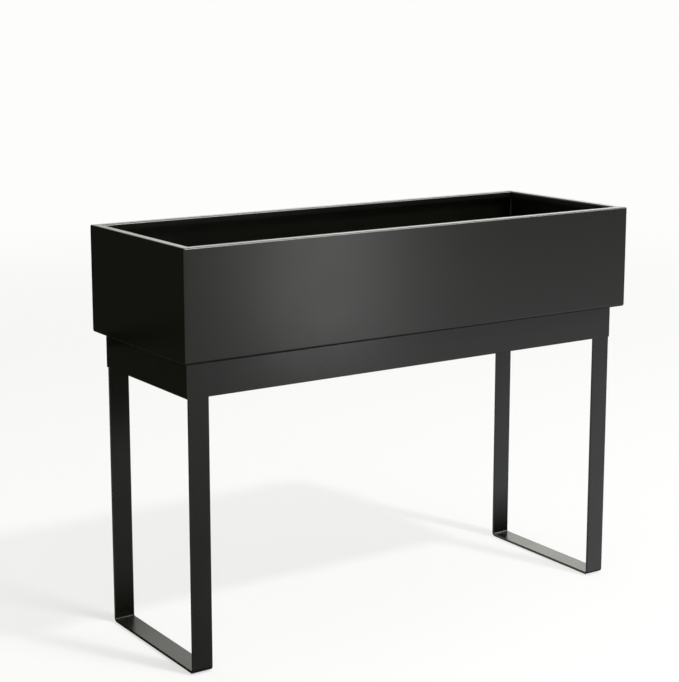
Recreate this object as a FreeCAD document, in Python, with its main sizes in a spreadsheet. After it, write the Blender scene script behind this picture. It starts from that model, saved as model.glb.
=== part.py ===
"""Raised planter box: a folded sheet-steel trough that sits on a stand of bent flat bar.

The frame has +Z up, +X along the trough and the front at -Y. The origin lies on the floor, under the middle.
"""

import FreeCAD
import Part
import Sketcher
import os
import re

# The driving sizes, in millimetres: name, value, what it measures.
SIZES = [
    ("trough_length", "1000", "trough, outside, along X"),
    ("trough_depth", "360", "trough, outside, along Y"),
    ("trough_height", "200", "trough, outside, from seat to rim"),
    ("sheet_thickness", "2", "sheet that the trough is folded from"),
    ("floor_fold", "3", "inside radius of the trough's two long folds, at its floor"),
    ("fold_radius", "1", "inside radius of the rim's folds; the welded corners outside are dressed to match"),
    ("rim_width", "18", "flange folded in at the rim, over its wall and lip"),
    ("rim_lip", "12", "lip folded down at the flange's inner edge, over the flange"),
    ("end_overhang", "15", "trough past the stand, at each end"),
    ("side_overhang", "25", "trough past the stand, at front and rear"),
    ("stand_height", "565", "floor to the trough's seat"),
    ("apron_height", "65", "band of rails and end plates under the trough"),
    ("bar_width", "40", "flat bar of the leg loops"),
    ("bar_thickness", "5", "flat bar of the leg loops and rails"),
    ("bend_radius", "3", "inside radius of the leg loops' bends"),
    ("end_plate_thickness", "2.5", "plates that close the apron's ends"),
    ("edge_chamfer", "0.6", "bevel of the dressed edges of bars, rails and plates"),
    ("gusset_side", "60", "corner gusset, along each wall"),
    ("gusset_thickness", "4", "corner gusset plate"),
    ("gusset_rise", "6", "gusset above the apron's lower edge"),
    ("gusset_tip", "10", "blunt end of a gusset"),
    ("gusset_relief", "8", "corner cut off a gusset to clear the weld"),
    ("foot_length", "60", "foot pad, along the floor bar"),
    ("foot_width", "30", "foot pad, across the floor bar"),
    ("foot_thickness", "2", "foot pad"),
    ("foot_corner", "5", "corner radius of a foot pad"),
    ("foot_setback", "4", "foot pad behind the end of the bend"),
    ("channel_width", "40", "channel under the trough's floor"),
    ("channel_height", "20", "channel under the trough's floor"),
    ("channel_thickness", "2", "sheet of the channels"),
    ("channel_fold", "1", "inside radius of the channels' folds"),
    ("seat_clearance", "1.5", "channels inside the apron, on each side"),
    ("drain_diameter", "20", "drain holes in the trough's floor"),
    ("plug_clearance", "0.05", "plug in its hole, radial"),
    ("plug_flange_diameter", "34", "plug's flange under the floor"),
    ("plug_flange_thickness", "4", "plug's flange"),
    ("plug_nose", "8", "plug above the floor"),
    ("plug_taper", "1.5", "plug's nose, smaller at its tip, radial"),
    ("plug_chamfer", "1", "bevel of the plug's flange"),
    ("tab_width", "16", "pull tab under a plug"),
    ("tab_height", "14", "pull tab under a plug"),
    ("tab_thickness", "4", "pull tab under a plug"),
    ("tab_hole", "6", "hole in a pull tab, diameter"),
    ("tab_corner", "5", "lower corners of a pull tab"),
]
ALIASES = {name for name, _, _ in SIZES}

# Lengths and places that follow from the driving sizes, as formulas of the sheet.
STAND_LENGTH = "(trough_length - 2 * end_overhang)"
STAND_DEPTH = "(trough_depth - 2 * side_overhang)"
FRAME_LENGTH = f"({STAND_LENGTH} - 2 * end_plate_thickness)"
INSIDE_DEPTH = f"({STAND_DEPTH} - 2 * bar_thickness)"
RAIL_LENGTH = f"({FRAME_LENGTH} - 2 * bar_width)"
APRON_BOTTOM = "(stand_height - apron_height)"
OUTER_FLOOR_FOLD = "(floor_fold + sheet_thickness)"
OUTER_FOLD = "(fold_radius + sheet_thickness)"
OUTER_BEND = "(bend_radius + bar_thickness)"
OUTER_CHANNEL = f"({FRAME_LENGTH} / 2 - seat_clearance - channel_width / 2)"

# Four base channels divide the floor into three equal bays, with a drain in the middle of each.
CHANNEL_SPOTS = {"far_left": "-1", "near_left": "-1 / 3", "near_right": "1 / 3", "far_right": "1"}
DRAIN_SPOTS = {"left": "-2 / 3", "middle": "0", "right": "2 / 3"}

# The stand's four corners: the sign of X, the sign of Y and the turn that brings a corner piece there.
CORNERS = {
    "front_left": (-1, -1, 0),
    "front_right": (1, -1, 90),
    "rear_right": (1, 1, 180),
    "rear_left": (-1, 1, 270),
}

X_AXIS = FreeCAD.Vector(1, 0, 0)
Y_AXIS = FreeCAD.Vector(0, 1, 0)
Z_AXIS = FreeCAD.Vector(0, 0, 1)
NEAR = 1e-4  # millimetres, for telling points apart
MOST = 0.45  # the largest share of a wall that a rounding or bevel takes

doc = FreeCAD.newDocument("raised_planter_box")


def write_sheet():
    """The spreadsheet of driving sizes, one named cell to a size."""
    sheet = doc.addObject("Spreadsheet::Sheet", "Sizes")
    for row, (name, value, note) in enumerate(SIZES, 1):
        sheet.set(f"A{row}", name)
        sheet.set(f"B{row}", value)
        sheet.set(f"C{row}", note)
        sheet.setAlias(f"B{row}", name)
    doc.recompute()


def cells(formula):
    """The formula with each size's name pointing at its cell."""
    return re.sub(r"[a-z_]+", lambda word: f"Sizes.{word[0]}" if word[0] in ALIASES else word[0], formula)


def place(thing, x="0", y="0", z="0", turn=0):
    """Puts a body where the formulas say, turned about Z by some degrees."""
    thing.Placement = FreeCAD.Placement(FreeCAD.Vector(), FreeCAD.Rotation(Z_AXIS, turn))
    for axis, formula in {"x": x, "y": y, "z": z}.items():
        thing.setExpression(f"Placement.Base.{axis}", cells(formula))
    doc.recompute()


def new_body(label):
    body = doc.addObject("PartDesign::Body", label)
    body.Label = label
    return body


def new_sketch(body, name, plane, height="0"):
    """An empty sketch on one of the body's origin planes, raised along its normal."""
    sketch = body.newObject("Sketcher::SketchObject", name)
    support = [feature for feature in body.Origin.OriginFeatures if feature.Role == plane]
    sketch.AttachmentSupport = [(support[0], "")]
    sketch.MapMode = "FlatFace"
    sketch.setExpression("AttachmentOffset.Base.z", cells(height))
    return sketch


def tie_point(sketch, geometry, end, x, y):
    """Ties a line's end or a circle's centre to two formulas."""
    for kind, formula in (("DistanceX", x), ("DistanceY", y)):
        number = sketch.addConstraint(Sketcher.Constraint(kind, -1, 1, geometry, end, 1.0))
        sketch.setExpression(f"Constraints[{number}]", cells(formula))


def add_outline(sketch, corners):
    """A closed outline of straight lines, with each corner tied to two formulas."""
    start = sketch.GeometryCount
    count = len(corners)
    points = [FreeCAD.Vector(number, number * number, 0) for number in range(count)]
    for number in range(count):
        sketch.addGeometry(Part.LineSegment(points[number], points[(number + 1) % count]), False)
    for number, (x, y) in enumerate(corners):
        before = start + (number - 1) % count
        sketch.addConstraint(Sketcher.Constraint("Coincident", before, 2, start + number, 1))
        tie_point(sketch, start + number, 1, x, y)


def add_rectangle(sketch, left, bottom, right, top):
    add_outline(sketch, [(left, bottom), (right, bottom), (right, top), (left, top)])


def add_centred_rectangle(sketch, half_x, half_y):
    add_rectangle(sketch, f"-({half_x})", f"-({half_y})", half_x, half_y)


def add_circle(sketch, x, y, diameter):
    circle = sketch.addGeometry(Part.Circle(FreeCAD.Vector(), Z_AXIS, 1.0), False)
    number = sketch.addConstraint(Sketcher.Constraint("Diameter", circle, 2.0))
    sketch.setExpression(f"Constraints[{number}]", cells(diameter))
    tie_point(sketch, circle, 3, x, y)


def pad(body, name, sketch, length, side="One side", downwards=False):
    feature = body.newObject("PartDesign::Pad", name)
    feature.Profile = sketch
    feature.SideType = side
    feature.Reversed = downwards
    feature.setExpression("Length", cells(length))
    doc.recompute()
    return feature


def pocket(body, name, sketch, length, side="One side"):
    """Cuts the sketch's outline out of the body, against the sketch's normal."""
    before = body.Shape.Volume
    feature = body.newObject("PartDesign::Pocket", name)
    feature.Profile = sketch
    feature.SideType = side
    feature.setExpression("Length", cells(length))
    doc.recompute()
    if body.Shape.Volume > before - NEAR:
        raise RuntimeError(f"{body.Label}: {name} cuts nothing")
    return feature


def dress(body, kind, measure, name, base, names, size):
    """Dresses the named edges of the last feature, to a size that its measure names."""
    if not names:
        raise RuntimeError(f"{body.Label}: {name} found no edge")
    feature = body.newObject(f"PartDesign::{kind}", name)
    feature.Base = (base, names)
    feature.setExpression(measure, cells(size))
    doc.recompute()
    return feature


def fillet(body, name, base, names, radius):
    return dress(body, "Fillet", "Radius", name, base, names, radius)


def chamfer(body, name, base, names, size):
    return dress(body, "Chamfer", "Size", name, base, names, size)


def edges_where(feature, test, along=None):
    """Names of the edges whose ends and middle pass the test and, where an axis is given, run along it."""
    names = []
    for number, edge in enumerate(feature.Shape.Edges, 1):
        first, last = edge.ParameterRange
        points = [edge.valueAt(at) for at in (first, (first + last) / 2, last)]
        runs_along = along is None or (points[2] - points[0]).cross(along).Length < NEAR
        if runs_along and all(test(point) for point in points):
            names.append(f"Edge{number}")
    return names


def hole_edges(feature, height, facing):
    """Names of the edges round the hole in the level face at that height, facing up (1) or down (-1)."""
    for face in feature.Shape.Faces:
        level = abs(face.CenterOfMass.z - height) < NEAR and face.normalAt(0, 0).z * facing > 1 - NEAR
        if level and len(face.Wires) == 2:
            hole = min(face.Wires, key=lambda wire: wire.BoundBox.DiagonalLength)
            edges = enumerate(feature.Shape.Edges, 1)
            found = [number for number, edge in edges if any(edge.isSame(other) for other in hole.Edges)]
            return [f"Edge{number}" for number in found]
    raise RuntimeError(f"{feature.Label} has no holed face at {height}")


def make_trough_form():
    """The trough as folded and welded: the form that the shell and the end panels are parted from."""
    body = new_body("trough_form")

    # The outside: two long folds at the floor, and edges rounded all round the ends and the top.
    outside = new_sketch(body, "outside", "XY_Plane")
    add_centred_rectangle(outside, "trough_length / 2", "trough_depth / 2")
    block = pad(body, "block", outside, "trough_height")
    box = block.Shape.BoundBox
    sheet = float(doc.Sizes.get("sheet_thickness"))
    long_edges = edges_where(block, lambda point: point.z < NEAR, along=X_AXIS)
    folded = fillet(body, "outer_floor_folds", block, long_edges, OUTER_FLOOR_FOLD)

    def on_end_or_top(point):
        return abs(point.x) > box.XMax - NEAR or point.z > box.ZMax - NEAR

    def inside_box(point):
        level = box.ZMin + NEAR < point.z < box.ZMax - NEAR
        return level and abs(point.x) < box.XMax - NEAR and abs(point.y) < box.YMax - NEAR

    fillet(body, "outer_folds", folded, edges_where(folded, on_end_or_top), OUTER_FOLD)

    # The hollow: folds at the floor and under the rim, and sharp corners where the end panels are welded in.
    cavity = new_sketch(body, "cavity", "XY_Plane", "trough_height - sheet_thickness")
    add_centred_rectangle(cavity, "trough_length / 2 - sheet_thickness", "trough_depth / 2 - sheet_thickness")
    hollow = pocket(body, "hollow", cavity, "trough_height - 2 * sheet_thickness")
    inner_long = edges_where(hollow, lambda point: inside_box(point) and point.z < sheet + NEAR, along=X_AXIS)
    creased = fillet(body, "inner_floor_folds", hollow, inner_long, "floor_fold")
    under_rim = edges_where(creased, lambda point: inside_box(point) and point.z > box.ZMax - sheet - NEAR)
    fillet(body, "inner_rim_folds", creased, under_rim, "fold_radius")

    # The rim: a flange all round, and a lip folded down from its inner edge.
    mouth = new_sketch(body, "mouth", "XY_Plane", "trough_height")
    add_centred_rectangle(mouth, "trough_length / 2 - rim_width", "trough_depth / 2 - rim_width")
    pocket(body, "rim_opening", mouth, "sheet_thickness")
    ring = new_sketch(body, "ring", "XY_Plane", "trough_height - sheet_thickness")
    lip_back = "(rim_width - sheet_thickness)"
    add_centred_rectangle(ring, "trough_length / 2 - rim_width", "trough_depth / 2 - rim_width")
    add_centred_rectangle(ring, f"trough_length / 2 - {lip_back}", f"trough_depth / 2 - {lip_back}")
    lip = pad(body, "lip", ring, "rim_lip - sheet_thickness", downwards=True)
    rim_edges = hole_edges(lip, box.ZMax, 1)
    rim = fillet(body, "rim_fold", lip, rim_edges, OUTER_FOLD)
    fillet(body, "lip_fold", rim, hole_edges(rim, box.ZMax - sheet, -1), "fold_radius")

    drains = new_sketch(body, "drains", "XY_Plane", "sheet_thickness")
    for share in DRAIN_SPOTS.values():
        add_circle(drains, f"{OUTER_CHANNEL} * ({share})", "0", "drain_diameter")
    pocket(body, "drain_holes", drains, "2 * sheet_thickness")
    place(body, z="stand_height")
    return body


def make_end_region(label, turn):
    """The space of one end panel: above the floor, out to the mitres through the trough's corners."""
    body = new_body(label)
    outer = ("trough_length / 2 + rim_width", "trough_depth / 2 + rim_width")
    inner = ("trough_length / 2 - 2 * rim_width", "trough_depth / 2 - 2 * rim_width")
    plan = new_sketch(body, "plan", "XY_Plane")
    corners = [(outer[0], f"-({outer[1]})"), outer, inner, (inner[0], f"-({inner[1]})")]
    add_outline(plan, corners)
    pad(body, "space", plan, "trough_height")
    place(body, z="stand_height + sheet_thickness", turn=turn)
    return body


def combine(kind, label, base, tool):
    result = doc.addObject(f"Part::{kind}", label)
    result.Label = label
    result.Base = base
    result.Tool = tool
    doc.recompute()
    return result


def make_trough():
    """The shell of front, floor and rear in one sheet, and the two end panels mitred to it."""
    form = make_trough_form()
    right_region = make_end_region("right_end_region", 0)
    left_region = make_end_region("left_end_region", 180)
    right_panel = combine("Common", "right_end_panel", form, right_region)
    left_panel = combine("Common", "left_end_panel", form, left_region)
    open_right = combine("Cut", "trough_open_right", form, right_region)
    shell = combine("Cut", "trough_shell", open_right, left_region)
    return [shell, left_panel, right_panel]


def make_channel(label, share):
    """A folded channel welded under the floor, open upwards and nested between the apron's walls."""
    body = new_body(label)
    section = new_sketch(body, "section", "XZ_Plane")
    side = "channel_width / 2"
    wall = f"({side} - channel_thickness)"
    web = "-(channel_height - channel_thickness)"
    add_outline(section, [
        (f"-{side}", "0"),
        (f"-{side}", "-channel_height"),
        (side, "-channel_height"),
        (side, "0"),
        (wall, "0"),
        (wall, web),
        (f"-{wall}", web),
        (f"-{wall}", "0"),
    ])
    bar = pad(body, "bar", section, f"{INSIDE_DEPTH} - 2 * seat_clearance", side="Symmetric")
    box = bar.Shape.BoundBox
    inner = edges_where(bar, lambda p: box.ZMin + NEAR < p.z < box.ZMax - NEAR, along=Y_AXIS)
    folded = fillet(body, "inner_folds", bar, inner, "channel_fold")
    outer = edges_where(folded, lambda p: p.z < box.ZMin + NEAR, along=Y_AXIS)
    fillet(body, "outer_folds", folded, outer, "channel_fold + channel_thickness")
    place(body, x=f"{OUTER_CHANNEL} * ({share})", z="stand_height")
    return body


def make_plug(label, share):
    """A rubber plug pushed up into a drain hole, with a flange and a pull tab below the floor."""
    body = new_body(label)
    profile = new_sketch(body, "profile", "XZ_Plane")
    shank = "(drain_diameter / 2 - plug_clearance)"
    tip = "sheet_thickness + plug_nose"
    add_outline(profile, [
        ("0", "-plug_flange_thickness"),
        ("plug_flange_diameter / 2", "-plug_flange_thickness"),
        ("plug_flange_diameter / 2", "0"),
        (shank, "0"),
        (shank, "sheet_thickness"),
        (f"{shank} - plug_taper", tip),
        ("0", tip),
    ])
    turned = body.newObject("PartDesign::Revolution", "turned")
    turned.Profile = profile
    turned.ReferenceAxis = (profile, ["V_Axis"])
    doc.recompute()
    box = turned.Shape.BoundBox
    rim = edges_where(turned, lambda p: p.z < box.ZMin + NEAR)
    chamfer(body, "soft_rim", turned, rim, f"min(plug_chamfer; {MOST} * plug_flange_thickness)")

    outline = new_sketch(body, "outline", "XZ_Plane")
    low = "-(plug_flange_thickness + tab_height)"
    add_rectangle(outline, "-tab_width / 2", low, "tab_width / 2", "-plug_flange_thickness")
    tab = pad(body, "tab", outline, "tab_thickness", side="Symmetric")
    box = tab.Shape.BoundBox
    corners = edges_where(tab, lambda p: p.z < box.ZMin + NEAR, along=Y_AXIS)
    fillet(body, "tab_corners", tab, corners, f"min(tab_corner; {MOST} * tab_width)")
    eye = new_sketch(body, "eye", "XZ_Plane")
    add_circle(eye, "0", "-(plug_flange_thickness + tab_height / 2)", "tab_hole")
    pocket(body, "tab_eye", eye, "2 * tab_thickness", side="Symmetric")
    place(body, x=f"{OUTER_CHANNEL} * ({share})", z="stand_height")
    return body


def make_leg_loop(label, x):
    """Flat bar bent to a U: a floor bar and two uprights, whose square tops fill the apron's corners."""
    body = new_body(label)
    half = f"({STAND_DEPTH} / 2)"
    inner = f"({half} - bar_thickness)"
    low = "foot_thickness"
    bent = new_sketch(body, "bent", "YZ_Plane")
    add_outline(bent, [
        (f"-{half}", APRON_BOTTOM),
        (f"-{half}", low),
        (half, low),
        (half, APRON_BOTTOM),
        (inner, APRON_BOTTOM),
        (inner, f"{low} + bar_thickness"),
        (f"-{inner}", f"{low} + bar_thickness"),
        (f"-{inner}", APRON_BOTTOM),
    ])
    bar = pad(body, "bar", bent, "bar_width")
    box = bar.Shape.BoundBox
    hollow = edges_where(bar, lambda p: box.ZMin + NEAR < p.z < box.ZMax - NEAR, along=X_AXIS)
    bends = fillet(body, "inner_bends", bar, hollow, "bend_radius")
    corners = edges_where(bends, lambda p: p.z < box.ZMin + NEAR, along=X_AXIS)
    loop = fillet(body, "outer_bends", bends, corners, OUTER_BEND)
    sides = edges_where(loop, lambda p: p.x < box.XMin + NEAR or p.x > box.XMax - NEAR)
    tops = edges_where(loop, lambda p: p.z > box.ZMax - NEAR)
    long_edges = [name for name in sides if name not in tops]
    chamfer(body, "dressed_edges", loop, long_edges, f"min(edge_chamfer; {MOST} * bar_thickness)")

    heads = new_sketch(body, "heads", "YZ_Plane")
    add_rectangle(heads, f"-{half}", APRON_BOTTOM, f"-{inner}", "stand_height")
    add_rectangle(heads, inner, APRON_BOTTOM, half, "stand_height")
    pad(body, "upright_heads", heads, "bar_width")
    place(body, x=x)
    return body


def make_rail(label, y):
    """An apron rail between two uprights, flush with them, its lower edges dressed."""
    body = new_body(label)
    section = new_sketch(body, "section", "YZ_Plane")
    add_rectangle(section, "0", "0", "bar_thickness", "apron_height")
    bar = pad(body, "bar", section, RAIL_LENGTH, side="Symmetric")
    box = bar.Shape.BoundBox
    lower = edges_where(bar, lambda p: p.z < box.ZMin + NEAR, along=X_AXIS)
    chamfer(body, "dressed_edges", bar, lower, f"min(edge_chamfer; {MOST} * bar_thickness)")
    place(body, y=y, z=APRON_BOTTOM)
    return body


def make_end_plate(label, side, turn):
    """The plate that closes one end of the apron, lapped over the edges of that end's uprights."""
    body = new_body(label)
    face = new_sketch(body, "face", "YZ_Plane")
    add_rectangle(face, f"-{STAND_DEPTH} / 2", "0", f"{STAND_DEPTH} / 2", "apron_height")
    plate = pad(body, "plate", face, "end_plate_thickness")
    box = plate.Shape.BoundBox
    outer = edges_where(plate, lambda p: p.x > box.XMax - NEAR)
    top = edges_where(plate, lambda p: p.z > box.ZMax - NEAR)
    outer_edges = [name for name in outer if name not in top]
    chamfer(body, "dressed_edges", plate, outer_edges, f"min(edge_chamfer; {MOST} * end_plate_thickness)")
    place(body, x=f"{side} * {FRAME_LENGTH} / 2", z=APRON_BOTTOM, turn=turn)
    return body


def make_gusset(corner, side_x, side_y, turn):
    """A three-sided plate that squares a corner of the apron, below the channels."""
    body = new_body(f"gusset_{corner}")
    plan = new_sketch(body, "plan", "XY_Plane")
    add_outline(plan, [
        ("gusset_relief", "0"),
        ("gusset_side", "0"),
        ("gusset_side", "gusset_tip"),
        ("gusset_tip", "gusset_side"),
        ("0", "gusset_side"),
        ("0", "gusset_relief"),
    ])
    pad(body, "plate", plan, "gusset_thickness")
    place(
        body,
        x=f"{side_x} * {FRAME_LENGTH} / 2",
        y=f"{side_y} * {INSIDE_DEPTH} / 2",
        z=f"{APRON_BOTTOM} + gusset_rise",
        turn=turn,
    )
    return body


def make_foot_pad(corner, side_x, side_y):
    """A rubber pad glued under a floor bar, just behind the bend."""
    body = new_body(f"foot_pad_{corner}")
    plan = new_sketch(body, "plan", "XY_Plane")
    add_centred_rectangle(plan, "foot_width / 2", "foot_length / 2")
    slab = pad(body, "slab", plan, "foot_thickness")
    upright = edges_where(slab, lambda p: True, along=Z_AXIS)
    fillet(body, "corners", slab, upright, f"min(foot_corner; {MOST} * foot_width; {MOST} * foot_length)")
    reach = f"({STAND_DEPTH} / 2 - {OUTER_BEND} - foot_setback - foot_length / 2)"
    place(body, x=f"{side_x} * ({FRAME_LENGTH} - bar_width) / 2", y=f"{side_y} * {reach}")
    return body


def check(nodes):
    """Stops if any feature failed or any piece isn't one sound solid."""
    doc.recompute()
    for thing in doc.Objects:
        if "Invalid" in thing.State or "Error" in thing.State:
            raise RuntimeError(f"{thing.Label} failed: {thing.State}")
    for node in nodes:
        if node.Shape.isNull() or not node.Shape.isValid() or len(node.Shape.Solids) != 1:
            raise RuntimeError(f"{node.Label} isn't one sound solid")


def write_parts(nodes):
    os.makedirs("parts", exist_ok=True)
    for node in nodes:
        node.Shape.exportStep(f"parts/{node.Label}.step")
        box = node.Shape.optimalBoundingBox()
        print(f"{node.Label}: {box.XLength:.1f} x {box.YLength:.1f} x {box.ZLength:.1f} mm")


write_sheet()
pieces = make_trough()
pieces += [make_channel(f"base_channel_{spot}", share) for spot, share in CHANNEL_SPOTS.items()]
pieces += [make_plug(f"drain_plug_{spot}", share) for spot, share in DRAIN_SPOTS.items()]
pieces.append(make_leg_loop("left_leg_loop", f"-{FRAME_LENGTH} / 2"))
pieces.append(make_leg_loop("right_leg_loop", f"{FRAME_LENGTH} / 2 - bar_width"))
pieces.append(make_rail("front_rail", f"-{STAND_DEPTH} / 2"))
pieces.append(make_rail("rear_rail", f"{STAND_DEPTH} / 2 - bar_thickness"))
pieces.append(make_end_plate("left_end_plate", -1, 180))
pieces.append(make_end_plate("right_end_plate", 1, 0))
pieces += [make_gusset(corner, *where) for corner, where in CORNERS.items()]
pieces += [make_foot_pad(corner, side_x, side_y) for corner, (side_x, side_y, _) in CORNERS.items()]
check(pieces)
write_parts(pieces)
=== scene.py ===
# %% [markdown]
# # Dressing a raised planter box
# This planter is a long trough of folded sheet steel that sits on a stand of bent flat bar, all of it in
# satin black powder coat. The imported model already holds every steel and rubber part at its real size, so
# nothing here moves or reshapes a part. What is left for Blender is the finish of each surface, the weld
# beads, and a small studio. The frame is loaded first, because the pieces are placed from its parts' boxes.

import math

import bmesh
import bpy
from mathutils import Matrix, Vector


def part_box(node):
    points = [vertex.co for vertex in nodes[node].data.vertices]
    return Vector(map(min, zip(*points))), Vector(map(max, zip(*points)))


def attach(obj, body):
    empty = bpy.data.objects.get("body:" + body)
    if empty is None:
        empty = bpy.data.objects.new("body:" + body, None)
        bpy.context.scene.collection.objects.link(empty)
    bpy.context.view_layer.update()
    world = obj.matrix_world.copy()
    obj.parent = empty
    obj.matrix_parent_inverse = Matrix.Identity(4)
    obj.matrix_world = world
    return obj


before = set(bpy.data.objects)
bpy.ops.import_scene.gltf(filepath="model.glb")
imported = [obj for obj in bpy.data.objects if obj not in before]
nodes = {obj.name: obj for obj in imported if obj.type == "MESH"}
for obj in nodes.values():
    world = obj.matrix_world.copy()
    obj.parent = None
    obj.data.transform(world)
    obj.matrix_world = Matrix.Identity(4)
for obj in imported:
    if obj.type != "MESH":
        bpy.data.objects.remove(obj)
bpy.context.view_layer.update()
MM = 0.001

# %% [markdown]
# Every finish is a tree of shader nodes. Typing each node and each link out in full would hide the idea
# behind it, so a few helpers do the typing: one adds a node with its settings and feeds its inputs, another
# starts a node group with named sockets. A group is how Blender shares one effect between materials: it is
# drawn once, and each material places it with its own values.

# %% Helpers for shader nodes
def feed(tree, socket, value):
    """Gives an input its value: a link if the value is another node's output, or else the value itself."""
    if isinstance(value, bpy.types.NodeSocket):
        tree.links.new(value, socket)
    else:
        socket.default_value = value


def add_node(tree, kind, inputs=None, **settings):
    """Adds one shader node with its settings, and feeds the inputs that are given."""
    node = tree.nodes.new("ShaderNode" + kind)
    for name, setting in settings.items():
        setattr(node, name, setting)
    for name, value in (inputs or {}).items():
        feed(tree, node.inputs[name], value)
    return node


def new_group(name, inputs, outputs):
    """Starts a group of number sockets and returns it with its inner ends: what is given, and the result."""
    group = bpy.data.node_groups.new(name, "ShaderNodeTree")
    for label, value in inputs.items():
        socket = group.interface.new_socket(label, in_out="INPUT", socket_type="NodeSocketFloat")
        socket.default_value = value
    for label in outputs:
        group.interface.new_socket(label, in_out="OUTPUT", socket_type="NodeSocketFloat")
    given = group.nodes.new("NodeGroupInput").outputs
    result = group.nodes.new("NodeGroupOutput").inputs
    return group, given, result


print("node helpers ready")

# %% [markdown]
# Powder coat is sprayed on dry and melted in an oven, and the skin sets with a fine pebbled relief, like the
# peel of an orange. Moulded rubber has a relief of the same kind, from the blasted steel of its mould. It is
# one effect at different sizes, so this is a group: a noise whose cell is given in metres, and a slow mottle
# that varies the gloss. It reads object coordinates, which are metres in the frame, so the grain is the same
# size on every part in one finish.

# %% The pebbled skin
PEBBLE_DETAIL, PEBBLE_ROUGHNESS = 2.0, 0.55
MOTTLE_PER_METRE, MOTTLE_DETAIL = 14, 3.0


def make_pebbled_skin():
    """The group that gives the height of the pebbles and the mottle of the gloss."""
    group, given, result = new_group("pebbled_skin", {"Cell": 1.0 * MM}, ["Height", "Mottle"])
    place = add_node(group, "TexCoord").outputs["Object"]
    cells_per_metre = add_node(group, "Math", {0: 1.0, 1: given["Cell"]}, operation="DIVIDE")
    pebbles = add_node(group, "TexNoise", {
        "Vector": place,
        "Scale": cells_per_metre.outputs[0],
        "Detail": PEBBLE_DETAIL,
        "Roughness": PEBBLE_ROUGHNESS,
    })
    feed(group, result["Height"], pebbles.outputs[0])
    mottle = add_node(group, "TexNoise", {
        "Vector": place,
        "Scale": MOTTLE_PER_METRE,
        "Detail": MOTTLE_DETAIL,
    })
    feed(group, result["Mottle"], mottle.outputs[0])
    return group


pebbled_skin = make_pebbled_skin()
print(pebbled_skin.name, "has", len(pebbled_skin.nodes), "nodes")

# %% [markdown]
# While the powder is molten it pulls back from sharp edges, so an edge is a shade lighter than the flat
# beside it. The lighter edge is also a painted highlight, for the light that the edges catch. A Bevel node
# finds edges without any extra geometry: it gives a normal rounded over a width, and where that normal leans
# away from the true one there is an edge. A noise breaks the band, so that it isn't a drawn line.

# %% Thin coat and painted highlight along the edges
EDGE_LEAN = 0.12
EDGE_SAMPLES = 6
EDGE_BREAKS_PER_METRE, EDGE_BREAK_DETAIL = 90, 3.0


def make_thin_coat_and_edge_highlight():
    """The group that says how much of an edge a point is, with breaks along it."""
    group, given, result = new_group("thin_coat_and_edge_highlight", {"Width": 1.0 * MM}, ["Mask"])
    rounded = add_node(group, "Bevel", {"Radius": given["Width"]}, samples=EDGE_SAMPLES).outputs["Normal"]
    flat = add_node(group, "NewGeometry").outputs["Normal"]
    agreement = add_node(group, "VectorMath", {0: rounded, 1: flat}, operation="DOT_PRODUCT").outputs["Value"]
    lean = add_node(group, "MapRange", {"Value": agreement, "From Min": 1.0, "From Max": 1.0 - EDGE_LEAN})
    breaks = add_node(group, "TexNoise", {
        "Vector": add_node(group, "TexCoord").outputs["Object"],
        "Scale": EDGE_BREAKS_PER_METRE,
        "Detail": EDGE_BREAK_DETAIL,
    })
    mask = add_node(group, "Math", {0: lean.outputs[0], 1: breaks.outputs[0]}, operation="MULTIPLY")
    feed(group, result["Mask"], mask.outputs[0])
    return group


thin_coat_and_edge_highlight = make_thin_coat_and_edge_highlight()
print(thin_coat_and_edge_highlight.name, "has", len(thin_coat_and_edge_highlight.nodes), "nodes")

# %% [markdown]
# Anything that stands outdoors or on a floor catches a little dust on the faces that look up. The group
# measures how far a face looks up, from the vertical part of its normal, and breaks that up with a noise. It
# is kept very faint: enough to take the last gloss off the floor bars and the trough's floor, not enough to
# look dirty.

# %% Settled dust
DUST_PATCHES_PER_METRE, DUST_DETAIL, DUST_ROUGHNESS = 35, 6.0, 0.65
LEVEL_FROM = 0.75


def make_settled_dust():
    """The group that says how much dust lies at a point, up to the given amount."""
    group, given, result = new_group("settled_dust", {"Amount": 0.1}, ["Mask"])
    normal = add_node(group, "NewGeometry").outputs["Normal"]
    upward = add_node(group, "SeparateXYZ", {0: normal}).outputs["Z"]
    level = add_node(group, "MapRange", {"Value": upward, "From Min": LEVEL_FROM, "From Max": 1.0})
    patches = add_node(group, "TexNoise", {
        "Vector": add_node(group, "TexCoord").outputs["Object"],
        "Scale": DUST_PATCHES_PER_METRE,
        "Detail": DUST_DETAIL,
        "Roughness": DUST_ROUGHNESS,
    })
    patchy = add_node(group, "Math", {0: level.outputs[0], 1: patches.outputs[0]}, operation="MULTIPLY")
    mask = add_node(group, "Math", {0: patchy.outputs[0], 1: given["Amount"]}, operation="MULTIPLY")
    feed(group, result["Mask"], mask.outputs[0])
    return group


settled_dust = make_settled_dust()
print(settled_dust.name, "has", len(settled_dust.nodes), "nodes")

# %% [markdown]
# Two more helpers are needed before the effects can be put together. One places a group in a material. The
# other goes from one colour or number to another by a mask: Blender's Mix node keeps sockets for every kind
# of value, many of them under the same name, so the helper picks the right ones by their place.

# %% Helpers for a finish
# For each kind of value, which inputs of a Mix node are its two ends, and which output is its result.
MIX_SOCKETS = {"FLOAT": (2, 3, 0), "RGBA": (6, 7, 2)}


def place_group(tree, group, **values):
    """Places a group in a material, with that material's own values."""
    node = tree.nodes.new("ShaderNodeGroup")
    node.node_tree = group
    for label, value in values.items():
        node.inputs[label].default_value = value
    return node.outputs


def mix(tree, mask, under, over, kind="RGBA"):
    """Goes from under to over by the mask; each of the two is a plain value or the socket that gives one."""
    first, second, result = MIX_SOCKETS[kind]
    node = add_node(tree, "Mix", data_type=kind)
    for socket, value in ((0, mask), (first, under), (second, over)):
        feed(tree, node.inputs[socket], value)
    return node.outputs[result]


print("finish helpers ready")
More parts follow.
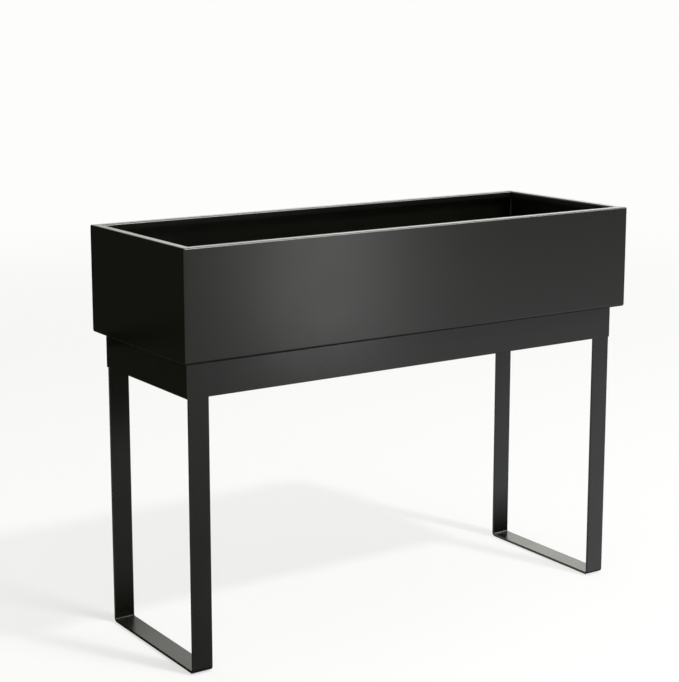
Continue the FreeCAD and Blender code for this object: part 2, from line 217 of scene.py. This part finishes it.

# %% [markdown]
# A finish puts the three effects together in one way: the colour goes from the coat to its lighter edge,
# which is thin coat and painted highlight, and then to dust, the roughness follows the mottle and the dust,
# and the pebbles make the bump. Only the values differ between the trough, the stand and the rubber, so one
# function draws the tree and each finish gives it its own numbers.

# %% One tree for every finish
DUST_COLOUR = (0.16, 0.15, 0.14, 1)
MOTTLE_LOW, MOTTLE_HIGH = 0.3, 0.7


def make_finish(name, colour, edge_colour, edge_width, dust, gloss, cell, relief):
    """A procedural finish. Gloss is its roughness at the smoothest and at the roughest, cell the size of its
    pebbles and relief their height."""
    material = bpy.data.materials.new(name)
    material.use_nodes = True
    tree = material.node_tree
    shader = tree.nodes["Principled BSDF"]
    skin = place_group(tree, pebbled_skin, Cell=cell)
    edges = place_group(tree, thin_coat_and_edge_highlight, Width=edge_width)
    dusty = place_group(tree, settled_dust, Amount=dust)

    coated = mix(tree, edges["Mask"], colour, edge_colour)
    feed(tree, shader.inputs["Base Color"], mix(tree, dusty["Mask"], coated, DUST_COLOUR))

    mottled = add_node(tree, "MapRange", {
        "Value": skin["Mottle"],
        "From Min": MOTTLE_LOW,
        "From Max": MOTTLE_HIGH,
        "To Min": gloss[0],
        "To Max": gloss[1],
    }).outputs[0]
    dulled = add_node(tree, "Math", {0: mottled, 1: dusty["Mask"]}, operation="ADD", use_clamp=True)
    feed(tree, shader.inputs["Roughness"], dulled.outputs[0])

    bump = add_node(tree, "Bump", {"Height": skin["Height"], "Strength": 1.0, "Distance": relief})
    feed(tree, shader.inputs["Normal"], bump.outputs["Normal"])
    return material


print("finish tree ready")

# %% [markdown]
# The trough and the stand have the same satin black, but not the same skin: the trough is thin sheet, which
# heats quickly in the oven and lets the powder flow out, while the flat bar of the stand is thicker steel
# that heats slowly, so its coat has a taller and tighter pebble. The rubber of the plugs and foot pads is
# much duller than both.

# %% The three finishes
# The black has a faint olive cast, a painted tint of the light on the shaded left end.
COAT_BLACK = (0.0050, 0.0053, 0.0022, 1)
# The edge colours are lighter than the flats: partly a thinner skin at the edge, partly a painted highlight.
COAT_EDGE = (0.018, 0.018, 0.017, 1)
RUBBER_BLACK = (0.014, 0.014, 0.0145, 1)
RUBBER_EDGE = (0.026, 0.026, 0.027, 1)

finishes = {
    "trough_coat": make_finish(
        "trough_coat_satin_black", colour=COAT_BLACK, edge_colour=COAT_EDGE, edge_width=1.2 * MM,
        dust=0.03, gloss=(0.275, 0.305), cell=1.0 * MM, relief=0.012 * MM,
    ),
    "stand_coat": make_finish(
        "stand_coat_satin_black", colour=COAT_BLACK, edge_colour=COAT_EDGE, edge_width=1.0 * MM,
        dust=0.02, gloss=(0.24, 0.28), cell=0.8 * MM, relief=0.014 * MM,
    ),
    "rubber": make_finish(
        "moulded_black_rubber", colour=RUBBER_BLACK, edge_colour=RUBBER_EDGE, edge_width=0.6 * MM,
        dust=0.12, gloss=(0.62, 0.74), cell=0.5 * MM, relief=0.02 * MM,
    ),
}
for node in nodes.values():
    slot = node.material_slots[0]
    slot.material = finishes[slot.material.name]
print("finished", len(nodes), "parts with", sorted(finishes))

# %% [markdown]
# The trough is welded, and so is the stand. A bead of weld fills the corner between two plates, and its face
# is a row of ripples, one for each time the torch moved on. The model's plates simply touch, so the beads
# are made here. A curve with a bevel would give a smooth rod; sweeping a section along the corner ring by
# ring lets every ring have its own size, which is what makes the ripples and the rounded ends.

# %% Lay one weld bead
RIPPLE_PITCH = 2.6 * MM
RINGS_IN_RIPPLE = 4
FEWEST_RIPPLES = 3
RIPPLE_LEAD = 1.0 * MM
FACE_STEPS = 6
# How deep a ripple is, how far the face bulges and how blunt an end is, as shares of the bead's size.
RIPPLE_DEPTH = 0.16
FACE_CROWN = 0.16
BLUNT_END = 0.3
# A bead goes this far into both plates, so that no gap shows.
SINK = 0.3 * MM


def lay_bead(mesh, start, end, first, second, leg):
    """Adds a closed bead to a bmesh, along the corner from start to end. First and second are the directions
    in which the two plates run away from that corner, and leg is how far the bead reaches along each."""
    length = (end - start).length
    travel = (end - start) / length
    outward = (first + second).normalized()
    ring_count = max(FEWEST_RIPPLES, round(length / RIPPLE_PITCH)) * RINGS_IN_RIPPLE + 1
    rings = []
    for index in range(ring_count):
        gone = length * index / (ring_count - 1)
        to_end = min(1.0, (min(gone, length - gone) + BLUNT_END * leg) / ((1 + BLUNT_END) * leg))
        dip = 0.5 - 0.5 * math.cos(2 * math.pi * index / RINGS_IN_RIPPLE)
        size = leg * math.sqrt(1 - (1 - to_end) ** 2) * (1 - RIPPLE_DEPTH * dip)
        root = start + travel * gone - (first + second) * SINK
        ring = [mesh.verts.new(root)]
        for step in range(FACE_STEPS + 1):
            share = step / FACE_STEPS
            face = (first * (1 - share) + second * share) * (size + SINK)
            bulge = math.sin(math.pi * share) * (outward * FACE_CROWN * size + travel * RIPPLE_LEAD)
            ring.append(mesh.verts.new(root + face + bulge))
        rings.append(ring)
    for behind, ahead in zip(rings, rings[1:]):
        for here in range(len(behind)):
            after = (here + 1) % len(behind)
            mesh.faces.new((behind[here], behind[after], ahead[after], ahead[here]))
    mesh.faces.new(rings[0])
    mesh.faces.new(rings[-1])


print("a ripple is", RIPPLE_PITCH / MM, "mm long")

# %% [markdown]
# A mesh is easiest to build in memory, as a bmesh, where vertices and faces are added one by one. To be seen
# it has to become an object that is linked to the scene, and lamps and the camera need that last step too.
# So there is one helper for the step itself, and one that brings a finished bmesh to it.

# %% Helpers for objects
def put_in_scene(name, data, place=(0, 0, 0)):
    """An object for a mesh, a lamp or a camera, linked to the scene at its place."""
    thing = bpy.data.objects.new(name, data)
    thing.location = place
    bpy.context.scene.collection.objects.link(thing)
    return thing


def make_object(name, mesh, material):
    """An object for a finished bmesh, in one material."""
    data = bpy.data.meshes.new(name)
    mesh.to_mesh(data)
    mesh.free()
    data.materials.append(material)
    return put_in_scene(name, data)


print("object helpers ready")

# %% [markdown]
# All the beads of one kind are one piece, because they ride on the same body and are never seen apart. A
# bead is coated together with the plates that it joins, so it takes their finish.

# %% Gather beads into a piece
def make_welds(name, beads, leg, body, slot):
    """One piece from a list of beads, riding on a body, in the finish of the plates that it joins."""
    mesh = bmesh.new()
    for start, end, first, second in beads:
        lay_bead(mesh, Vector(start), Vector(end), Vector(first), Vector(second), leg)
    bmesh.ops.recalc_face_normals(mesh, faces=mesh.faces[:])
    piece = make_object(name, mesh, finishes[slot])
    piece.data.shade_smooth()
    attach(piece, body)
    print(name, "has", len(beads), "beads and", len(piece.data.vertices), "vertices")


print("weld helper ready")

# %% [markdown]
# Outside, the trough's corners are ground smooth before coating. Inside, the beads stay: one up each corner
# where an end panel meets the shell, and one along the floor at each end. They stop short of each other and
# of the rim.

# %% Beads inside the trough
SHEET = 2 * MM
CORNER_LEG = 3.0 * MM
UP, DOWN = (0, 0, 1), (0, 0, -1)
SIDES = (-1, 1)
trough_low, trough_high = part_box("trough_shell")
panel_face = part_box("right_end_panel")[1].x - SHEET
wall_face = trough_high.y - SHEET
floor_face = trough_low.z + SHEET
under_rim = trough_high.z - 2 * SHEET

corner_beads = []
floor_beads = []
for x in SIDES:
    for y in SIDES:
        corner_beads.append((
            (x * panel_face, y * wall_face, floor_face + 2 * CORNER_LEG),
            (x * panel_face, y * wall_face, under_rim),
            (-x, 0, 0), (0, -y, 0),
        ))
    floor_beads.append((
        (x * panel_face, CORNER_LEG - wall_face, floor_face),
        (x * panel_face, wall_face - CORNER_LEG, floor_face),
        (-x, 0, 0), UP,
    ))
make_welds("trough_corner_welds", corner_beads, CORNER_LEG, "trough", "trough_coat")
make_welds("trough_floor_welds", floor_beads, CORNER_LEG, "trough", "trough_coat")

# %% [markdown]
# Under the floor the four channels are stitch-welded: short beads with gaps, because a full bead would pull
# the thin floor out of flat. The two outer channels are stitched on their inner sides only, since their
# outer sides nest against the apron with hardly a bead's width to spare.

# %% Stitches along the channels
STITCH_LENGTH = 28 * MM
STITCH_LEG = 2.6 * MM
STITCH_SHARES = (-0.72, -0.24, 0.24, 0.72)
stitch_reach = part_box("base_channel_near_left")[1].y - STITCH_LENGTH / 2


def stitch_row(x, away):
    """Stitches along one side of a channel, at x; away is the direction from the channel."""
    row = []
    for share in STITCH_SHARES:
        middle = share * stitch_reach
        row.append((
            (x, middle - STITCH_LENGTH / 2, trough_low.z),
            (x, middle + STITCH_LENGTH / 2, trough_low.z),
            DOWN, (away, 0, 0),
        ))
    return row


stitches = []
for side in ("left", "right"):
    near_low, near_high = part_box(f"base_channel_near_{side}")
    far_low, far_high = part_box(f"base_channel_far_{side}")
    stitches += stitch_row(near_low.x, -1) + stitch_row(near_high.x, 1)
    stitches += stitch_row(far_high.x, 1) if side == "left" else stitch_row(far_low.x, -1)
make_welds("channel_stitch_welds", stitches, STITCH_LEG, "trough", "trough_coat")

# %% [markdown]
# The stand's welds are ground flush outside, so that legs, rails and end plates read as one band. Inside the
# apron a short bead joins each upright to its end plate, between the gusset and the channel that nests
# there, and two beads hold each gusset from below: one to the upright and rail, one to the end plate. They
# leave the inner corner and the ends of the gusset free.

# %% Beads inside the apron
APRON_LEG = 3.0 * MM
BEAD_GAP = 3 * MM
CORNER_GAP = 10 * MM
apron_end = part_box("right_end_plate")[0].x
upright_face = -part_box("front_rail")[1].y
gusset_low, gusset_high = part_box("gusset_front_right")
channel_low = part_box("base_channel_far_right")[0]

upright_beads = []
gusset_beads = []
for x in SIDES:
    for y in SIDES:
        upright_beads.append((
            (x * apron_end, y * upright_face, gusset_high.z + BEAD_GAP),
            (x * apron_end, y * upright_face, channel_low.z - BEAD_GAP),
            (-x, 0, 0), (0, -y, 0),
        ))
        gusset_beads.append((
            (x * (apron_end - CORNER_GAP), y * upright_face, gusset_low.z),
            (x * (gusset_low.x + BEAD_GAP), y * upright_face, gusset_low.z),
            DOWN, (0, -y, 0),
        ))
        gusset_beads.append((
            (x * apron_end, y * (upright_face - CORNER_GAP), gusset_low.z),
            (x * apron_end, -y * (gusset_high.y - BEAD_GAP), gusset_low.z),
            DOWN, (-x, 0, 0),
        ))
make_welds("apron_upright_welds", upright_beads, APRON_LEG, "stand", "stand_coat")
make_welds("gusset_welds", gusset_beads, APRON_LEG, "stand", "stand_coat")

# %% [markdown]
# The floor is one big pale sheet. Part of its brightness comes from the lamps, and part is a glow of its
# own, like a light table's, so that shadows on it stay faint. Its paint is matt, so it shows the shadow of
# the planter and nothing else. With distance it fades to clear, so that it runs into the white backdrop with
# no horizon, and seen from underneath it is clear too, so that a camera below can look up at the channels
# and plugs.

# %% The floor's paint
FLOOR_LOOK = {
    "Base Color": (0.39, 0.39, 0.385, 1),
    "Roughness": 1.0,
    "Specular IOR Level": 0.0,
    "Emission Color": (1.0, 1.0, 0.985, 1),
    "Emission Strength": 0.604,
}
FADE_FROM, FADE_TO = 2.0, 6.0

floor_paint = bpy.data.materials.new("pale_floor")
floor_paint.use_nodes = True
paint = floor_paint.node_tree
floor_shader = paint.nodes["Principled BSDF"]
for socket, value in FLOOR_LOOK.items():
    floor_shader.inputs[socket].default_value = value
seen = add_node(paint, "NewGeometry").outputs
distance = add_node(paint, "VectorMath", {0: seen["Position"]}, operation="LENGTH").outputs["Value"]
faded = add_node(paint, "MapRange", {
    "Value": distance,
    "From Min": FADE_FROM,
    "From Max": FADE_TO,
}, interpolation_type="SMOOTHSTEP")
see_through = add_node(paint, "Math", {0: faded.outputs[0], 1: seen["Backfacing"]}, operation="MAXIMUM")
nothing = add_node(paint, "BsdfTransparent").outputs["BSDF"]
sheet = add_node(paint, "MixShader", {0: see_through.outputs[0], 1: floor_shader.outputs["BSDF"], 2: nothing})
feed(paint, paint.nodes["Material Output"].inputs["Surface"], sheet.outputs["Shader"])
print("floor is clear from", FADE_TO, "m on")

# %% [markdown]
# The sheet itself is a single square. It is left out of reflections: in this studio, what a glossy face sees
# is drawn as soft patches of light instead.

# %% The studio floor
FLOOR_REACH = 8.0

floor_mesh = bmesh.new()
bmesh.ops.create_grid(floor_mesh, x_segments=1, y_segments=1, size=FLOOR_REACH)
studio_floor = make_object("studio_floor", floor_mesh, floor_paint)
studio_floor.visible_glossy = False
print("floor reaches", FLOOR_REACH, "m each way")

# %% [markdown]
# A black satin object is lit by what it reflects. A studio would hang white cards and black cloth around it;
# here the world does most of that job, because a patch of light in the world is soft, needs no object and
# can't get into the picture. A patch lies in one direction and has a soft edge, so it is given by two angles
# for where it lies, two for its size, and a strength. A strength below zero makes a dim patch.

# %% A patch of light
world = bpy.data.worlds.new("studio")
bpy.context.scene.world = world
world.use_nodes = True
sky = world.node_tree
direction = add_node(sky, "TexCoord").outputs["Generated"]


def add_patch(under, turn, height, full, fading, strength):
    """Adds a soft patch of light to what a reflection sees in that direction, and returns the sum."""
    turn, height, full, fading = (math.radians(angle) for angle in (turn, height, full, fading))
    level = math.cos(height)
    towards = (math.sin(turn) * level, -math.cos(turn) * level, math.sin(height))
    nearness = add_node(sky, "VectorMath", {0: direction, 1: towards}, operation="DOT_PRODUCT")
    soft = add_node(sky, "MapRange", {
        "Value": nearness.outputs["Value"],
        "From Min": math.cos(fading),
        "From Max": math.cos(full),
        "To Max": strength,
    }, interpolation_type="SMOOTHSTEP")
    return add_node(sky, "Math", {0: under, 1: soft.outputs[0]}, operation="ADD").outputs[0]


print("world", world.name, "ready for its patches")

# %% [markdown]
# For reflections the studio is a mid grey with eight patches: a pale ceiling, a bright wall behind, a bright
# floor at the right, and a strong card above the front, which draws the thin light line in each inner bend.
# The dim ones darken what the front, the legs and the underside mirror.

# %% The studio around it
PLAIN_REFLECTION = 0.65
# Each patch: turn from the front towards the right, height above level, half-angles where it is full and
# where it has faded out, and strength. Angles are in degrees.
PATCHES = {
    "ceiling": (0, 90, 35, 68, 0.7),
    "wall behind": (132, 3, 12, 31, 1.92),
    "floor at the right": (52, -24, 8, 22, 0.72),
    "dim floor in front": (25, -31, 9, 19, -0.65),
    "dim corner at the left": (25, 0, 6, 13, -0.55),
    "dim corner at the right": (48, 0, 6, 16, -0.6),
    "card above the front": (40, 45, 10, 20, 18.0),
    "shade below": (0, -90, 42, 66, -0.60),
}

reflected = PLAIN_REFLECTION
for patch in PATCHES.values():
    reflected = add_patch(reflected, *patch)
never_negative = add_node(sky, "Math", {0: reflected, 1: 0.0}, operation="MAXIMUM").outputs[0]
print("studio has", len(PATCHES), "patches")

# %% [markdown]
# The world then chooses by the kind of ray: a ray straight from the eye sees a white backdrop, a glossy ray
# sees the patches, and the light that falls on the planter from all round is a plain even dome. Daylight in
# front is a little cooler than what comes back from behind, so reflections are tinted by the way they run:
# cool towards the front, warm towards the back, with a blend between.

# %% Choose what each ray sees
BACKDROP = 0.985
DOME_LIGHT = 0.50
WARM_WHITE = (1.0, 1.0, 0.985, 1)
COOL_IN_FRONT = (0.975, 0.995, 1.045, 1)
WARM_BEHIND = (1.0, 0.998, 0.94, 1)
SIDE_BLEND = 0.3

ray = add_node(sky, "LightPath").outputs
dome = mix(sky, ray["Is Camera Ray"], DOME_LIGHT, BACKDROP, "FLOAT")
strength = mix(sky, ray["Is Glossy Ray"], dome, never_negative, "FLOAT")
heading = add_node(sky, "SeparateXYZ", {0: direction}).outputs["Y"]
behind = add_node(sky, "MapRange", {"Value": heading, "From Min": -SIDE_BLEND, "From Max": SIDE_BLEND})
reflected_tint = mix(sky, behind.outputs[0], COOL_IN_FRONT, WARM_BEHIND)
tint = mix(sky, ray["Is Glossy Ray"], WARM_WHITE, reflected_tint)
background = sky.nodes["Background"]
feed(sky, background.inputs["Color"], tint)
feed(sky, background.inputs["Strength"], strength)
print("world nodes:", len(sky.nodes))

# %% [markdown]
# One lamp gives the shadow its direction: high in front and a little to the right, wide enough that the
# shadow of the trough has a broad soft edge while each leg's shadow is clear at its foot. A sun would cast
# the four legs' shadows in parallel; this lamp stands some nine metres off, so that they spread a little, as
# they do indoors.

# %% The main lamp
LAMP_PLACE = (2.15, -5.05, 7.50)
LAMP_POWER = 1100
LAMP_RADIUS = 0.40


def hang_lamp(name, power, radius):
    """A round lamp at the place of the main lamp."""
    data = bpy.data.lights.new(name, "POINT")
    data.energy = power
    data.shadow_soft_size = radius
    return put_in_scene(name, data, LAMP_PLACE)


hang_lamp("main_lamp", LAMP_POWER, LAMP_RADIUS)
print("lamp stands", round(Vector(LAMP_PLACE).length, 1), "m away")

# %% [markdown]
# At the left feet the shadows are deeper than under the trough. One lamp can't give both, so a second and
# wider one hangs in the same place and is given rules of its own by light linking: it lights the floor
# alone, and the left leg loop alone can block it. Its light is part of the floor's even brightness, so the
# floor's own glow is set with both lamps on.

# %% A lamp for the left feet
FOOT_LAMP_POWER = 1050
FOOT_LAMP_RADIUS = 1.3


def only(name, thing):
    """A collection of one thing, which is how light linking is told what a lamp lights or what blocks it."""
    collection = bpy.data.collections.new(name)
    collection.objects.link(thing)
    return collection


foot_lamp = hang_lamp("foot_lamp", FOOT_LAMP_POWER, FOOT_LAMP_RADIUS)
foot_lamp.light_linking.receiver_collection = only("lit_by_foot_lamp", studio_floor)
foot_lamp.light_linking.blocker_collection = only("blocking_foot_lamp", nodes["left_leg_loop"])
print("foot lamp has", FOOT_LAMP_POWER, "W")

# %% [markdown]
# The long front of the trough would be one even grey without a light of its own. A tall soft box stands
# close to it, to the right of the middle and turned towards it, so the front mirrors it to the camera as one
# broad soft highlight.

# %% The soft box for the front
BOX_PLACE = (0.505, -1.30, 0.60)
BOX_WIDTH, BOX_HEIGHT = 0.25, 0.70
BOX_POWER = 1.75
# Lamps and cameras point straight down, and look level once they are tipped up by this many degrees.
LOOKS_LEVEL = 90
# The soft box is then turned to the left by this many degrees.
BOX_TURN = 30

box_data = bpy.data.lights.new("front_soft_box", "AREA")
box_data.shape = "RECTANGLE"
box_data.size, box_data.size_y = BOX_WIDTH, BOX_HEIGHT
box_data.energy = BOX_POWER
front_soft_box = put_in_scene("front_soft_box", box_data, BOX_PLACE)
front_soft_box.rotation_euler = (math.radians(LOOKS_LEVEL), 0, math.radians(BOX_TURN))
front_soft_box.visible_camera = False
print("soft box stands", BOX_PLACE)

# %% [markdown]
# Photographers take light away as well, with flags: black cards or cloths on stands. The cloth here thins
# out to clear along one axis, so that no edge of it shows. It is there only for a reflection that meets its
# back, so that a flag can't darken what is mirrored on its other side.

# %% Cloth for a flag
BLACK = (0, 0, 0, 1)


def make_flag_cloth(name, axis, solid, clear, density):
    """Black cloth that only its back shows, and that thins out along an axis from solid to clear."""
    cloth = bpy.data.materials.new(name)
    cloth.use_nodes = True
    tree = cloth.node_tree
    shader = tree.nodes["Principled BSDF"]
    shader.inputs["Base Color"].default_value = BLACK
    shader.inputs["Specular IOR Level"].default_value = 0.0
    seen = add_node(tree, "NewGeometry").outputs
    place = add_node(tree, "SeparateXYZ", {0: seen["Position"]}).outputs[axis]
    thinning = add_node(tree, "MapRange", {
        "Value": place,
        "From Min": clear,
        "From Max": solid,
        "To Max": density,
    })
    back_only = add_node(tree, "Math", {0: thinning.outputs[0], 1: seen["Backfacing"]}, operation="MULTIPLY")
    feed(tree, shader.inputs["Alpha"], back_only.outputs[0])
    return cloth


print("flag cloth ready")

# %% [markdown]
# A flag is one upright sheet of that cloth. Reflections alone see it: it is hidden from the camera and from
# the even light, and throws no shadow. Which side is its back follows from the order of its corners.

# %% Hang a flag
def hang_flag(name, start, end, plane, bottom, top, cloth):
    """One upright flag along the planter. It faces the front if start is its left end, and else the back."""
    mesh = bmesh.new()
    corners = [(start, bottom), (end, bottom), (end, top), (start, top)]
    mesh.faces.new([mesh.verts.new((x, plane, z)) for x, z in corners])
    flag = make_object(name, mesh, cloth)
    flag.visible_camera = False
    flag.visible_diffuse = False
    flag.visible_shadow = False


print("flag helper ready")

# %% [markdown]
# Three flags shade the two rear legs, which on the real planter grow dark under the apron and down at their
# feet. Two thin ones stand behind the floor bars, so that the top of each bar grows a little darker towards
# its rear bend.

# %% Flags for the rear legs and the floor bars
# Each flag: its start and end, the place of its plane, the heights where it is densest and where it is
# clear, and its density.
FLAGS = {
    "flag_under_apron": (-0.46, -0.10, -0.14, 0.36, 0.25, 1.0),
    "flag_at_left_foot": (-0.48, -0.38, 0.12, 0.00, 0.10, 1.0),
    "flag_at_right_foot": (0.43, 0.56, 0.12, 0.00, 0.10, 1.0),
    "flag_behind_left_bar": (-0.22, -0.48, 0.16, 0.00, 0.075, 0.55),
    "flag_behind_right_bar": (0.74, 0.44, 0.16, 0.00, 0.075, 0.18),
}
# A flag goes on this far past its densest height.
FLAG_REACH = 0.14

for name, (start, end, plane, solid, clear, density) in FLAGS.items():
    past_solid = solid + math.copysign(FLAG_REACH, solid - clear)
    bottom, top = sorted((clear, past_solid))
    hang_flag(name, start, end, plane, bottom, top, make_flag_cloth(name, "Z", solid, clear, density))
print("hung", sorted(FLAGS))

# %% [markdown]
# The left end of the planter is nearly black, because it mirrors something dark beside it. Two more flags
# stand there, one for the trough and one for the stand. Each starts at the rear edge of its end plate and
# runs outwards, in line with the planter's back: so the left end mirrors it, and the back doesn't. They are
# a little thinner than the flags at the rear legs, as the left end isn't quite as black.

# %% Flags beside the left end
END_FLAG_GAP = 3 * MM
END_FLAG_OVERLAP = 35 * MM
END_FLAG_SOLID, END_FLAG_CLEAR = -0.95, -1.50
END_FLAG_DENSITY = 0.955
END_FLAG_BOTTOM, END_FLAG_TOP = -0.40, 1.20
# Each flag: the plate that it stands beside, and its lowest and highest edge.
END_FLAGS = {
    "flag_at_trough_end": ("left_end_panel", trough_low.z - END_FLAG_OVERLAP, END_FLAG_TOP),
    "flag_at_stand_end": ("left_end_plate", END_FLAG_BOTTOM, trough_low.z),
}

for name, (plate, bottom, top) in END_FLAGS.items():
    low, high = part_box(plate)
    cloth = make_flag_cloth(name, "X", END_FLAG_SOLID, END_FLAG_CLEAR, END_FLAG_DENSITY)
    hang_flag(name, low.x, END_FLAG_CLEAR, high.y + END_FLAG_GAP, bottom, top, cloth)
print("hung", sorted(END_FLAGS))

# %% [markdown]
# The camera stands at the front left, some 40 cm above the trough's rim, with a long lens. Its place was
# found by matching corners of the model with where they appear in the picture. The small shift does what a
# view camera does: it keeps the uprights closer to upright than tilting alone would.

# %% The camera
# The picture's size, the focal length and the shift are in pixels, turn and tilt in degrees.
PICTURE_WIDTH, PICTURE_HEIGHT = 679, 682
FOCAL_LENGTH = 1663
SHIFT = -40
CAMERA_PLACE = (-1.805, -2.592, 1.176)
CAMERA_TURN, CAMERA_TILT = 33.82, -10.36

camera_data = bpy.data.cameras.new("camera")
camera_data.lens = FOCAL_LENGTH * camera_data.sensor_width / max(PICTURE_WIDTH, PICTURE_HEIGHT)
camera_data.shift_y = SHIFT / max(PICTURE_WIDTH, PICTURE_HEIGHT)
camera = put_in_scene("camera", camera_data, CAMERA_PLACE)
camera.rotation_euler = (math.radians(LOOKS_LEVEL + CAMERA_TILT), 0, -math.radians(CAMERA_TURN))
bpy.context.scene.camera = camera
bpy.context.scene.view_settings.view_transform = "Standard"
print("lens in mm:", round(camera_data.lens, 1))
